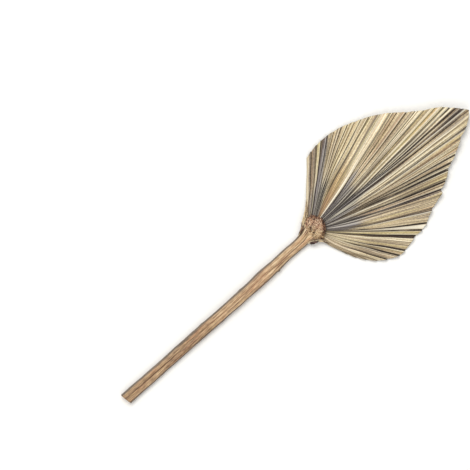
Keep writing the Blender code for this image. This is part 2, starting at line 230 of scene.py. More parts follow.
blade = {
    # leaflets from the left margin round to the right one: spread at the rim in degrees, how pale
    # the broad and the narrow face are and how dark the painted shade line in the left crease is
    # (about 0 to 1), and the hue from olive (-1) to pink (1); the narrow faces' paleness holds painted
    # light: on the right half their darkness is partly stain and partly painted shade, and on the left
    # half many are paler than the broad faces, painted light on faces that turn from the key lamp
    "leaflets": [
        (4.0, 0.44, 0.26, 0.30, 0.1), (4.0, 0.52, 0.42, 0.70, 0.4), (3.0, 0.66, 0.36, 0.50, -0.8),
        (4.0, 0.36, 0.28, 0.90, 0.1), (3.0, 0.58, 0.64, 0.60, -0.1), (3.5, 0.74, 1.15, 0.60, 0.1),
        (3.0, 0.74, 0.92, 0.60, 0.0), (3.0, 0.70, 1.00, 0.70, -0.2), (2.5, 0.74, 1.15, 0.50, 0.0),
        (3.0, 0.72, 0.76, 0.70, -0.2), (4.0, 0.70, 1.00, 0.60, -0.1), (3.5, 0.72, 1.08, 0.30, 0.0),
        (2.0, 0.60, 0.66, 0.50, 0.0), (3.0, 0.66, 0.56, 0.60, 0.4), (2.3, 0.60, 1.10, 0.50, 0.1),
        (2.2, 0.92, 1.10, 0.40, 0.0), (2.2, 0.56, 1.15, 0.60, -0.2), (1.8, 0.62, 0.95, 0.50, 0.0),
        (1.5, 1.05, 0.30, 0.70, 0.0), (1.3, 0.86, 0.55, 0.80, 0.0), (1.5, 0.46, 0.40, 0.80, 0.2),
        (1.7, 0.44, 0.10, 0.50, 0.2), (3.5, 0.82, 0.52, 0.80, 0.0), (2.0, 0.88, 0.12, 0.50, 0.0),
        (4.2, 0.80, 0.60, 0.50, 0.1), (2.1, 0.74, 0.02, 0.85, 0.2), (1.7, 0.76, 0.08, 0.85, 0.2),
        (4.0, 0.76, 0.20, 0.90, -0.2), (2.7, 0.66, 0.08, 1.00, 0.3), (7.8, 0.59, 0.10, 1.00, 0.0),
        (7.0, 0.62, 0.14, 0.60, 0.0), (3.5, 0.82, 0.26, 1.00, 0.2), (3.5, 0.60, 0.12, 0.95, -0.5),
        (9.5, 0.72, 0.04, 1.00, -0.1), (4.0, 0.68, 0.06, 1.00, 0.0), (5.5, 0.72, 0.16, 1.00, 0.1),
        (4.5, 0.64, 0.10, 0.95, 0.2), (4.0, 0.82, 0.44, 0.70, 0.4), (4.0, 0.72, 0.66, 0.70, 0.5),
        (3.5, 0.74, 0.44, 0.80, 0.0), (3.5, 0.64, 0.44, 0.80, 0.1)],
    "leftMargin": -57.5,
    # rim that the scissors left: degrees clockwise from the tip's way, reach from the knot
    "rim": [
        (-57.5, 71.0), (-40.0, 98.0), (-29.0, 115.0), (-12.0, 147.0), (-8.0, 158.0), (-4.0, 174.5),
        (-2.0, 180.0), (2.4, 193.5), (6.0, 181.5), (8.0, 170.5), (12.0, 158.5), (15.6, 145.5),
        (16.4, 144.5), (20.0, 138.5), (23.3, 130.5), (24.6, 131.5), (26.0, 127.5), (30.4, 118.5),
        (34.0, 114.0), (38.0, 110.8), (41.0, 106.5), (45.5, 98.5), (48.0, 97.0), (54.0, 92.5),
        (58.0, 88.5), (63.0, 79.5), (67.0, 72.0), (72.8, 58.5), (80.0, 40.5), (84.0, 30.0)],
    # where the ribs rise from the knot: degrees at the rim, x and y of the root
    "crown": [
        (-57.5, -12.8, -4.0), (-53.5, -12.2, -1.6), (-50.0, -11.4, 0.2), (-44.0, -10.0, 3.2),
        (-36.0, -8.2, 5.4), (-30.0, -7.2, 6.6), (-19.5, -5.2, 7.8), (0.0, -0.4, 9.0), (20.0, 4.8, 8.0),
        (45.0, 9.2, 5.0), (64.0, 10.4, 1.4), (84.0, 12.6, -4.6)],
    "crownY": 1.5,
    "creaseHeight": 3.5,  # of the underside at the roots
    "foldAtKnot": 2.2,
    "foldAtRim": 5.4,
    "foldByWidth": 1.1,  # narrow leaflets are folded less deep than this share of their width
    "foldReach": 120.0,
    "crestLean": 0.33,
    "crestLeanAngle": 12.0,
    # how far the ribs bow to the right, in mm, about a third of their way to the rim
    "ribBow": [
        (-57.5, 0.9), (-47.0, 1.2), (-40.0, -0.3), (-34.0, -2.4), (-25.0, -3.0), (-20.0, 0.2),
        (-16.0, 2.8), (-12.0, 2.2), (-8.5, 2.8), (-4.2, 3.6), (2.6, 0.4), (6.0, 2.8), (8.0, 3.0),
        (12.2, 1.6), (16.0, 0.4), (20.0, 1.5), (23.5, 1.7), (30.5, 3.5), (38.0, 2.0), (41.0, 0.6),
        (45.0, 1.2), (54.0, 1.4), (59.0, 1.7), (64.0, 3.4), (72.0, 2.6), (84.0, 0.0)],
    "tipLift": 6.5,
    "liftStartsAt": 95.0,  # leaflets longer than this leave the floor
    "ribBowEase": 0.62,  # below 1 moves the bow nearer the knot
    "ribSway": 0.6,
    "thickness": 0.5,
    "rows": 84,
    "rowEase": 0.92,
    "columnWidth": 1.7,  # at the rim, between a face's two folds
    "beadWidth": 0.42,  # of the rounded fold lines, at the rim
    "beadHeight": 0.32,
    "beadSpread": 0.06,
    "waviness": 1.6,
    "snipTilt": 0.81,  # how far a leaflet's cut end leans either way, in mm
    # pale ribs, partly their own colour and partly painted highlight: degrees, half width, how pale
    # near the knot and at the rim
    "paleRibsAndHighlights": [
        (-18.5, 0.42, 0.90, 0.45), (39.2, 1.5, 0.35, 0.95), (-4.3, 0.45, 0.1, 0.4),
        (3.6, 0.40, 0.2, 0.3), (-56.7, 0.4, 0.2, 0.3), (-19.9, 1.0, 0.1, 0.4), (6.6, 0.35, 0.2, 0.3),
        (31.8, 0.5, 0.1, 0.45), (-26.9, 0.5, 0.0, 0.4), (-2.4, 0.35, 0.2, 0.6), (43.6, 0.4, 0.1, 0.45),
        (22.2, 0.35, 0.1, 0.5), (0.2, 0.22, 0.2, 0.5), (1.4, 0.22, 0.1, 0.5), (-1.3, 0.25, 0.2, 0.5),
        (-48.2, 0.6, 0.35, 0.0), (-41.9, 0.6, 0.45, 0.0), (-38.1, 0.7, 0.5, 0.0),
        (-34.7, 0.7, 0.5, 0.0), (-31.2, 0.6, 0.45, 0.0), (-27.5, 0.5, 0.4, 0.0),
        (-14.4, 0.5, 0.45, 0.0), (-9.0, 0.6, 0.45, 0.0), (5.0, 0.6, 0.4, 0.0), (10.6, 0.6, 0.4, 0.0),
        (17.6, 0.6, 0.4, 0.0), (26.6, 0.6, 0.3, 0.0)],
    # nearly black streaks near the knot, partly stain and partly painted shade between the deep folds:
    # degrees, half width, strength, reach in mm
    "darkStreaksAndShade": [
        (-44.0, 0.8, 0.5, 60), (-40.0, 0.9, 0.80, 48), (-36.4, 0.8, 0.80, 44), (-33.0, 0.8, 0.75, 48),
        (-29.4, 0.8, 0.8, 50), (-26.0, 0.5, 0.7, 44), (-24.4, 0.35, 0.6, 90), (-22.4, 0.35, 0.5, 42),
        (-17.4, 0.5, 0.9, 58), (-15.6, 0.5, 0.7, 48), (-13.2, 0.7, 0.7, 50), (-10.6, 0.5, 0.6, 46),
        (-7.3, 1.0, 0.6, 54), (-5.4, 0.5, 0.6, 60), (0.9, 0.4, 0.5, 48), (3.1, 0.9, 0.6, 46),
        (6.6, 0.6, 0.5, 42), (15.3, 0.35, 0.7, 80), (20.3, 0.5, 0.8, 90), (22.9, 0.5, 0.8, 90),
        (24.8, 0.6, 0.7, 50), (28.6, 0.8, 0.8, 50), (31.2, 0.8, 0.8, 50), (37.6, 0.5, 0.6, 40),
        (44.4, 0.7, 0.7, 44)],
    # slate-grey stain that spreads from the knot: degrees, reach in mm, strength
    "stain": [
        (-58, 30, 0.30), (-52, 38, 0.42), (-47, 52, 0.46), (-43.5, 96, 0.80), (-40.5, 54, 0.85),
        (-36, 46, 0.90), (-31, 44, 0.85), (-26, 30, 0.65), (-22.5, 22, 0.45), (-18.7, 18, 0.40),
        (-16.8, 54, 0.95), (-12, 54, 1.00), (-8, 54, 1.00), (-5, 52, 1.00), (-3, 82, 0.90),
        (-1, 92, 0.90), (1, 96, 0.90), (2.6, 72, 0.95), (4, 56, 0.95), (8, 46, 0.85), (12, 36, 0.70),
        (16, 36, 0.65), (20, 46, 0.75), (24, 52, 0.80), (28, 46, 0.70), (33, 42, 0.60), (40, 34, 0.40),
        (46, 28, 0.28), (55, 24, 0.24), (70, 24, 0.22), (84, 24, 0.28)],
    # creases that widen towards the rim: leaflet to the right, length and half width in mm
    "wideCreases": {
        5: (7.0, 0.35), 11: (4.0, 0.25), 17: (9.0, 0.30), 22: (12.0, 0.35), 25: (5.0, 0.25),
        28: (6.0, 0.45), 31: (10.0, 0.35), 33: (7.0, 0.50), 35: (5.0, 0.35)},
}


def bladeColumns():
    # fan lines from left to right: angle at the rim, leaflets so far, height from crease (0) to
    # crest (1), leaflet, whether the face to the right is the broad one, and the crest's place
    leaflets, columns, angle = blade["leaflets"], [], blade["leftMargin"]
    for index, (spread, *_) in enumerate(leaflets):
        lean = np.clip((angle + spread / 2) / blade["crestLeanAngle"], -1, 1)
        crest = 0.5 - blade["crestLean"] * lean
        reach = np.interp(angle + spread / 2, *np.array(blade["rim"]).T)
        bead = math.degrees(blade["beadWidth"] / reach) / spread
        bead = min(bead, 0.22 * min(crest, 1 - crest))
        count = [max(2, round(math.radians(spread * part) * reach / blade["columnWidth"]))
                 for part in (crest, 1 - crest)]
        left = np.linspace(bead, crest - bead, count[0] + 1)
        right = np.linspace(crest + bead, 1 - bead, count[1] + 1)
        for share in [0.0, *left, crest, *right]:
            height = share / crest if share <= crest else (1 - share) / (1 - crest)
            broad = (share < crest) == (crest > 0.5)
            columns.append((angle + share * spread, index + share, height, index, broad, crest))
        angle += spread
    columns.append((angle, float(len(leaflets)), 0.0, len(leaflets) - 1, False, 0.5))
    return columns


def bladeGrid():
    columns = bladeColumns()
    angle, count, height, leaflet, broad, crest = (np.array(c, float) for c in zip(*columns))
    leaflet = leaflet.astype(int)
    spreads = np.array([row[0] for row in blade["leaflets"]])
    starts = blade["leftMargin"] + np.concatenate([[0], np.cumsum(spreads)])
    t = np.linspace(0, 1, blade["rows"])[None] ** blade["rowEase"]

    # roots on the knot, rims where the scissors cut
    root = flowing(blade["crown"], angle)
    reach = np.interp(angle, *np.array(blade["rim"]).T)
    dice = np.random.default_rng(7)
    tilt = dice.uniform(-1.0, 1.0, len(spreads))[leaflet] * blade["snipTilt"]
    within = (angle - starts[leaflet]) / spreads[leaflet] - 0.5
    jag = 0.4 * height - 0.3 + tilt * within + 0.30 * wobble(triples(angle * 3, 0.0, 0.0), 3.0)
    cut = reach + jag
    rim = np.stack([cut * np.sin(np.radians(angle)), cut * np.cos(np.radians(angle))], -1)

    # lay each fold line out from root to rim
    run = rim - root
    outward = np.stack([run[:, 1], -run[:, 0]], -1)
    outward /= np.linalg.norm(outward, axis=1)[:, None]
    sway = wobble(triples(angle[:, None] * 0.22, t * 3.0, 0.0), 11.0) * blade["ribSway"]
    bow = flowing(blade["ribBow"], angle) * np.sin(np.pi * t ** blade["ribBowEase"])
    bow = bow + sway * np.sin(np.pi * t)
    plan = root[:, None] + run[:, None] * t[..., None] + outward[:, None] * bow[..., None]
    fromKnot = np.hypot(plan[..., 0], plan[..., 1] - blade["crownY"])

    # the two lips of a wide crease draw apart towards the rim
    opening = np.zeros(plan.shape[:2])
    for index, (length, half) in blade["wideCreases"].items():
        crease = starts[index]
        lip = np.clip((fromKnot - (reach[:, None] - length)) / length, 0, 1) * half
        near = np.exp(-((angle - crease) / 0.55) ** 2)
        opening += np.where(angle >= crease, 1.0, -1.0)[:, None] * near[:, None] * lip
    plan -= outward[:, None] * opening[..., None]

    # heights: creases, pleats, beads along the folds, and the lift of the whole leaf
    growth = np.clip(fromKnot / blade["foldReach"], 0, 1)
    fold = blade["foldAtKnot"] + (blade["foldAtRim"] - blade["foldAtKnot"]) * growth
    width = np.radians(spreads[leaflet])[:, None] * np.maximum(fromKnot, 14.0)
    fold = 1 / (1 / fold + 1 / (blade["foldByWidth"] * width))
    vary = 1.0 + 0.12 * wobble(triples(count[:, None] * 0.8, t * 2.0, 0.0), 5.0)
    bulge = 0.10 * np.sin(np.pi * height)[:, None]
    pleat = fold * vary * (height[:, None] * 0.96 + bulge)
    veins = 0.10 * np.sin(height * 9.0)[:, None] * growth
    onCrest, inCrease = (np.exp(-(gap / blade["beadSpread"]) ** 2) for gap in (1 - height, height))
    bead = blade["beadHeight"] * (onCrest - inCrease)
    longest = max(r for _, r in blade["rim"])
    lift = blade["tipLift"] * np.clip(
        (reach - blade["liftStartsAt"]) / (longest - blade["liftStartsAt"]), 0, 1)
    level = blade["creaseHeight"] + (lift[:, None] - blade["creaseHeight"]) * smoothstep(0, 1, t)
    swell = wobble(triples(angle[:, None] * 0.035, t * 1.6, 0.0), 23.0)
    level = level + blade["waviness"] * (0.5 + 0.5 * swell) * t ** 2
    under = level + pleat + (veins + bead[:, None] * growth) * smoothstep(0, 0.3, t)
    under = np.maximum(under, 0.15)
    upper = np.dstack([plan, under + blade["thickness"]])
    lower = np.dstack([plan, under])
    return dict(angle=angle, leaflet=leaflet, broad=broad, crest=crest, starts=starts,
                spreads=spreads, fromKnot=fromKnot, upper=upper, lower=lower)


def bladeShell(grid):
    # both faces of the sheet and a wall along each open edge; owners are the faces' fan lines
    columns, rows = grid["upper"].shape[:2]
    number = np.arange(columns * rows).reshape(columns, rows)
    below = columns * rows
    line = np.arange(columns - 1)
    cells = np.stack([number[:-1, :-1], number[1:, :-1], number[1:, 1:], number[:-1, 1:]], -1)
    cells = cells.reshape(-1, 4)
    faces = [cells, cells[:, ::-1] + below]
    owners = [np.repeat(line, rows - 1)] * 2
    for a, b, owner in ((number[:-1, 0], number[1:, 0], line),
                        (number[-1, :-1], number[-1, 1:], line[-1:]),
                        (number[1:, -1], number[:-1, -1], line),
                        (number[0, 1:], number[0, :-1], line[:1])):
        faces.append(np.stack([b, a, a + below, b + below], -1))
        owners.append(np.broadcast_to(owner, a.shape))
    points = np.concatenate([grid["upper"].reshape(-1, 3), grid["lower"].reshape(-1, 3)])
    return points, np.concatenate(faces), np.concatenate(owners)


def bladeMaps(grid, points, faces, owners):
    columns, rows = grid["upper"].shape[:2]
    corner = faces.ravel()
    angle = np.tile(np.repeat(grid["angle"], rows), 2)
    fromKnot = np.tile(grid["fromKnot"].ravel(), 2)
    fan = np.stack([angle, fromKnot], -1)

    # how pale each face is, from its leaflet; on the narrow faces this is partly painted shade and
    # stain on the right half and painted light on the left half
    tones = np.array(blade["leaflets"])[:, 1:]
    leaflet, broad = grid["leaflet"][owners], grid["broad"][owners] > 0.5
    tone = np.where(broad, tones[leaflet, 0], tones[leaflet, 1])
    stain = flowing(blade["stain"], grid["angle"])
    spread = smoothstep(16, -20, grid["fromKnot"] - stain[:, :1]) * stain[:, 1:2]
    spread = np.tile(spread.ravel(), 2)
    tonesMap = np.stack([np.repeat(tone, 4), spread[corner]], -1)

    # how dark the painted shade line in the nearer crease is, and the leaflet's hue
    within = grid["angle"] - grid["starts"][grid["leaflet"]]
    width = grid["spreads"][grid["leaflet"]]
    following = np.append(tones[1:, 2], 1.0)[grid["leaflet"]]
    creaseShade = np.where(within < width / 2, tones[grid["leaflet"], 2], following)
    linesMap = np.stack([np.tile(np.repeat(creaseShade, rows), 2)[corner],
                         np.repeat(tones[leaflet, 3], 4)], -1)

    # distance in mm from the crease and from the crest
    crease = np.minimum(within, width - within)
    crest = np.abs(within - grid["crest"] * width)
    perDegree = np.radians(grid["fromKnot"])
    folds = np.stack([crease[:, None] * perDegree, crest[:, None] * perDegree], -1)
    folds = np.tile(folds.reshape(-1, 2), (2, 1))

    # flat map for baking: upper face on its left half, underside on its right half
    low, high = points[:, :2].min(0), points[:, :2].max(0)
    flat = (points[:, :2] - low) / (high - low).max() * 0.96 + 0.02
    flat[:, 0] *= 0.69
    flat[columns * rows:, 0] += 0.5
    return {"OFBake": flat, "fan": fan, "tones": tonesMap, "lines": linesMap, "folds": folds}


def bladePaint():
    p = Paint("driedLeaf")
    angle, reach = p.uv("fan")
    tone, stain = p.uv("tones")
    creaseShade, hue = p.uv("lines")
    creaseGap, crestGap = p.uv("folds")

    def streak(perDegree, perMm, seed, detail=2.0):  # long fibres that follow the ribs
        found = p.grain(p.vector(angle * perDegree, reach * perMm, seed), 1.0, detail)
        return p.ease(found, 0.26, 0.74) - 0.5

    bands = streak(0.50, 0.007, 1.3, 1.0)
    veins = streak(1.15, 0.008, 7.7, 1.0)
    fibres = streak(2.6, 0.020, 3.1, 1.0)
    hairs = streak(8.0, 0.05, 9.4, 1.0)
    crossing = streak(1.3, 0.50, 5.9, 2.0)
    wide = streak(0.24, 0.012, 83.0, 1.0)
    right = p.ease(angle, 6.0, 20.0)
    base = p.ease(angle, 32.0, 48.0) * p.ease(reach, 60.0, 38.0)
    middling = right * 0.12 + base * 0.20 + 0.52
    body = tone + (middling - tone) * p.ease(reach, 85.0, 35.0) * (right * 0.35 + 0.5)
    value = body + bands * (right * 0.16 + 0.12) + veins * (right * 0.14 + 0.24) + fibres * 0.34
    centre = p.ease(abs(angle - 0.6), 4.0, 1.6)
    value = value + hairs * 0.22 + crossing * 0.22 + wide * 0.10 + fibres * centre * 0.25
    straw = p.ramp(
        value, (0.0, 54, 42, 38), (0.15, 92, 80, 75), (0.30, 134, 122, 112), (0.45, 164, 147, 121),
        (0.62, 193, 174, 140), (0.75, 213, 195, 158), (0.88, 234, 218, 180), (1.0, 250, 239, 210))
    blush = p.ease(streak(0.8, 0.009, 21.0, 2.0) * 0.5 + hue * 0.35, 0.0, 0.35)
    olive = p.ease(streak(0.9, 0.009, 34.0, 2.0) * 0.5 - hue * 0.35, 0.02, 0.35)
    straw = p.mix(blush * 0.7, straw, tint(232, 204, 196), "MULTIPLY")
    straw = p.mix(olive * 0.7, straw, tint(230, 228, 172), "MULTIPLY")

    # slate-grey stain from the knot outwards, in streaks that are as wide near the knot as far out
    close = p.ease(reach, 62.0, 26.0)
    coarse = streak(0.21, 0.020, 91.0, 1.0) * close
    wires = streak(0.58, 0.012, 101.0, 0.0) * close + streak(0.9, 0.012, 107.0, 0.0) * (1 - close)
    ragged = p.ease(stain + veins * 0.42 + bands * 0.3 + fibres * 0.15, 0.22, 0.64)
    slateValue = 0.33 + centre * 0.15 + coarse * 0.46 + bands * 0.50 + veins * 0.62 + fibres * 0.62
    slateValue = slateValue + crossing * 0.35 + (tone - 0.5) * 0.20 - close * 0.05
    slate = p.ramp(slateValue, (0.0, 38, 32, 30), (0.25, 86, 78, 75), (0.5, 130, 122, 120),
                   (0.75, 180, 172, 165), (1.0, 230, 222, 208))
    slate = p.mix(p.ease(wires, 0.04, 0.14) * 0.50, slate, tint(216, 208, 195))
    slate = p.mix(p.ease(wires, -0.03, -0.12) * 0.92, slate, tint(40, 34, 35))
    cool = p.ease(streak(1.1, 0.02, 45.0, 1.0), -0.30, 0.10)
    slate = p.mix(cool * 0.8, slate, tint(218, 217, 232), "MULTIPLY")
    colour = p.mix(ragged, straw, slate)

    # painted shade as dark lines in the creases, painted highlight as pale lines on the crests, thin
    # dark streaks
    broken = p.ease(streak(0.8, 0.030, 55.0, 2.0), -0.5, -0.1)
    # painted shade: a dark line along each crease, wider and darker for the leaflets listed with dark
    # creases
    widerCreaseShade = p.ease(creaseShade, 0.68, 0.92) * p.ease(reach, 55.0, 105.0) * 0.30
    line = (1 - p.ease(creaseGap + fibres * 0.4 - widerCreaseShade, 0.25, 0.90)) * broken * creaseShade
    colour = p.mix(line * p.ease(reach, 22.0, 48.0, 0.45, 1.0), colour, tint(40, 28, 24))
    # painted highlight: pale lines along the crests of the paler faces
    shown = p.ease(streak(0.30, 0.012, 61.0, 1.0) + tone - 0.6, -0.30, 0.20)
    paintedCrestHighlight = (1 - p.ease(crestGap + fibres * 0.3, 0.10, 0.70)) * shown * p.ease(creaseGap, 0.25, 0.80)
    colour = p.mix(paintedCrestHighlight * 0.6, colour, tint(246, 236, 208))
    dark = p.ease(streak(2.0, 0.005, 71.0, 0.0) + fibres * 0.1, -0.28, -0.40)
    colour = p.mix(dark * 0.7, colour, tint(74, 58, 48))

    # rust and amber beside the palest rib, nearly black streaks that are partly stain and partly
    # painted shade, and pale ribs that are partly their own colour and partly painted highlight
    rust = p.ease(abs(angle + veins * 1.2 + 21.8), 3.2, 1.6) * p.ease(reach, 50.0, 28.0)
    amber = p.ease(abs(angle + 21.8), 3.4, 1.6) * p.ease(reach, 84.0, 48.0)
    rusty = p.ramp(fibres * 1.1 + coarse + veins * 0.8 + 0.44,
                   (0.0, 86, 64, 52), (0.5, 134, 107, 86), (1.0, 190, 160, 128))
    colour = p.mix(rust * 0.75, colour, rusty)
    colour = p.mix(amber * 0.7, colour, tint(238, 214, 172), "MULTIPLY")
    black = p.mix(fibres + 0.5, tint(44, 37, 34), tint(112, 103, 96))
    # nearly black streaks near the knot: partly stain, partly painted shade between the folds
    for place, width, strength, far in blade["darkStreaksAndShade"]:
        streaked = p.ease(abs(angle - place + veins * 0.5), width, width * 0.4)
        colour = p.mix(streaked * p.ease(reach, far + 14.0, far - 12.0) * strength, colour, black)
    # pale ribs: partly their own colour, partly painted highlight
    for place, width, near, far in blade["paleRibsAndHighlights"]:
        rib = p.ease(abs(angle - place + veins * 0.15), width, width * 0.4)
        colour = p.mix(rib * p.ease(reach, 40.0, 90.0, near, far), colour, tint(248, 240, 218))
    strip = 1 - p.ease(angle + fibres * 0.6, -56.1, -55.4)
    colour = p.mix(strip * 0.8, colour, p.mix(veins + 0.5, tint(196, 178, 142), tint(244, 232, 204)))

    # small brown freckles
    place = p.node("ShaderNodeTexCoord", {}, {}, "Object")
    freckle = p.ease(p.grain(place, 900.0, 1.0), 0.70, 0.78)
    colour = p.mix(freckle * 0.5, colour, tint(104, 78, 56))

    roughness = 0.66 + veins * 0.12 - paintedCrestHighlight * 0.08
    relief = fibres * 0.5 + veins * 0.4 + hairs * 0.3
    return p.wear(colour, roughness, p.bump(relief, 0.25, 0.5))


def makeBlade():
    grid = bladeGrid()
    points, faces, owners = bladeShell(grid)
    maps = bladeMaps(grid, points, faces, owners)
    newPiece("leafBlade", points, faces.tolist(), bladePaint(), "blade", maps)


makeBlade()


knot = {
    # outline seen from above, in mm, clockwise from the left
    "outline": [
        (-13.0, 1.0), (-12.2, 4.5), (-9.3, 7.6), (-6.2, 9.4), (-2.5, 10.3), (1.0, 9.2), (4.5, 8.0),
        (7.5, 6.0), (9.8, 3.4), (11.6, 0.8), (12.4, -1.6), (11.0, -4.4), (8.2, -8.0), (5.0, -10.8),
        (0.5, -11.8), (-4.0, -10.8), (-8.0, -8.6), (-11.4, -5.6), (-12.8, -2.4)],
    # from the middle of the underside out and up to the middle of the top: share of the
    # outline, share of the height
    "profile": [
        (0.0, 0.02), (0.45, 0.0), (0.80, 0.0), (0.93, 0.12), (1.0, 0.40), (0.95, 0.70), (0.76, 0.90),
        (0.45, 1.0), (0.0, 1.0)],
    "height": 11.3,
    "rings": 72,
    "sides": 180,
    "pits": [  # x, y, radius, depth
        (-3.2, -4.4, 1.8, 2.6), (2.3, -4.2, 1.2, 2.2), (-5.2, -1.6, 0.9, 0.9), (8.0, 2.6, 1.0, 1.0),
        (-8.2, 3.6, 1.0, 0.8), (-0.8, 5.2, 0.8, 0.6), (10.4, 0.4, 1.0, 0.9), (-9.8, -1.4, 0.8, 0.6),
        (-8.8, 7.0, 1.3, 1.4), (0.6, 9.0, 1.3, 1.2), (9.8, 3.4, 1.4, 1.4), (-11.2, 3.2, 1.0, 0.9),
        (11.6, -2.4, 0.9, 1.0)],
    "tail": 0.24,  # how much lower it gets towards the stem
    "strands": 230,
    "bristles": 110,
    "shoulderFibres": 46,
}


def knotReach(azimuth):  # from the middle to the outline, radians clockwise from the tip's way
    outline = np.array(knot["outline"])
    around = np.arctan2(outline[:, 0], outline[:, 1])
    order = np.argsort(around)
    return np.interp(azimuth, around[order], np.hypot(*outline.T)[order], period=math.tau)


def knotTop(x, y):  # height of the knot's upper side over a point
    share = np.hypot(x, y) / knotReach(np.arctan2(x, y))
    shares, heights = np.array(knot["profile"][:3:-1]).T
    sink = 1 - knot["tail"] * smoothstep(2.0, -10.0, y)
    return knot["height"] * sink * np.interp(share, shares, heights, right=0.3)


tubeSides = 6  # of every fibre


def tubes(paths):
    # closed tapering tubes along centre lines of (x, y, z, radius)
    points, faces = [], []
    ring = np.linspace(0, math.tau, tubeSides, endpoint=False)
    for path in paths:
        path = np.asarray(path, float)
        along = np.gradient(path[:, :3], axis=0)
        along /= np.linalg.norm(along, axis=1)[:, None]
        side = np.cross(along, (0, 0, 1.0))
        side /= np.maximum(np.linalg.norm(side, axis=1), 1e-6)[:, None]
        up = np.cross(side, along)
        for face in ringFaces(len(path), tubeSides, False):
            faces.append([len(points) + corner for corner in face])
        for centre, radius, s, u in zip(path[:, :3], path[:, 3], side, up):
            points += list(centre + radius * (np.cos(ring)[:, None] * s + np.sin(ring)[:, None] * u))
    return np.array(points), faces


def tubeTones(paths, tones):  # one tone for all the points of each tube
    return [tone for tone, path in zip(tones, paths) for _ in range(len(path) * tubeSides)]


def knotPaint():
    p = Paint("fibrousKnot")
    x, y = p.uv("plan")
    tone, _ = p.uv("marks")
    place = p.vector(x, y, tone * 9.0)
    lumps = p.grain(place, 0.30, 3.0, 0.6)
    fine = p.grain(place, 0.75, 3.0, 0.65, 0.6)
    grit = p.grain(place, 3.2, 2.0, 0.6)
    lumps, fine, grit = (p.ease(part, 0.28, 0.72) for part in (lumps, fine, grit))
    value = tone + (lumps - 0.5) * 0.45 + (fine - 0.5) * 0.75 + (grit - 0.5) * 0.34
    rust = p.ramp(value, (0.0, 46, 28, 22), (0.2, 98, 62, 46), (0.4, 150, 104, 80),
                  (0.6, 190, 144, 112), (0.8, 216, 180, 146), (1.0, 238, 214, 184))
    tan = p.ramp(value, (0.0, 58, 38, 26), (0.2, 116, 84, 58), (0.4, 164, 128, 92),
                 (0.6, 198, 164, 122), (0.8, 222, 194, 150), (1.0, 240, 220, 182))
    lower = p.ease(x * 0.10 - y * 0.14 + (lumps - 0.5) * 1.6, -0.5, 1.0)
    colour = p.mix(lower, rust, tan)
    speck = p.ease(p.grain(place, 1.1, 2.0), 0.60, 0.68)
    colour = p.mix(speck * 0.7, colour, tint(62, 38, 30))
    relief = fine * 0.7 + grit * 0.4
    return p.wear(colour, 0.72 + (fine - 0.5) * 0.3, p.bump(relief, 0.5, 0.8))


def makeKnot():
    rings, sides = knot["rings"], knot["sides"]
    profile = np.array(knot["profile"])
    steps = np.concatenate([[0], np.cumsum(np.hypot(*np.diff(profile, axis=0).T))])
    shares, heights = flowing(np.column_stack([steps, profile]), np.linspace(0, steps[-1], rings)).T
    shares[[0, -1]] = 0.004
    azimuth = np.linspace(-math.pi, math.pi, sides, endpoint=False)
    reach = knotReach(azimuth)
    x = shares[:, None] * (reach * np.sin(azimuth))[None]
    y = shares[:, None] * (reach * np.cos(azimuth))[None]
    z = (heights * knot["height"])[:, None] * (1 - knot["tail"] * smoothstep(2.0, -10.0, y))

    # fibres that fan over the top, lumps and pits
    upper = smoothstep(0.25, 0.6, heights)[:, None]
    place = np.stack([x, y, z], -1)
    around = triples((azimuth * 11.0)[None], shares[:, None] * 1.4, 0.0)
    fibres = wobble(around, 2.0) * 0.45 * smoothstep(0.2, 0.7, shares)[:, None]
    swell = wobble(place * 0.30, 4.0) * 0.9 + wobble(place * 0.85, 6.0) * 0.55
    push = (fibres + swell) * (0.25 + 0.75 * upper)
    pit = np.zeros_like(x)
    for px, py, radius, depth in knot["pits"]:
        pit += depth * np.exp(-((x - px) ** 2 + (y - py) ** 2) / radius ** 2)
    z += (push * smoothstep(1.02, 0.7, shares)[:, None] - pit) * upper
    flare = 1 + push * 0.05 * smoothstep(0.3, 0.9, shares)[:, None]
    points = np.stack([x * flare, y * flare, np.maximum(z, 0.0)], -1)

    # paler on the lumps and darker between them; painted shade darkens the pits, and the rim of the
    # top over its upper and right side
    tone = 0.60 + 0.20 * swell - 0.80 * np.clip(pit, 0, 0.8) * upper
    rim = np.exp(-((shares[:, None] - 0.9) / 0.10) ** 2) * upper
    tone = tone - 0.08 * rim * (np.cos(azimuth - 0.35) > -0.15)[None]
    newPiece("fibrousKnot", points.reshape(-1, 3), ringFaces(rings, sides), knotPaintMade,
             "hastula",
             {"plan": points[..., :2].reshape(-1, 2), "marks": single(tone.ravel())})


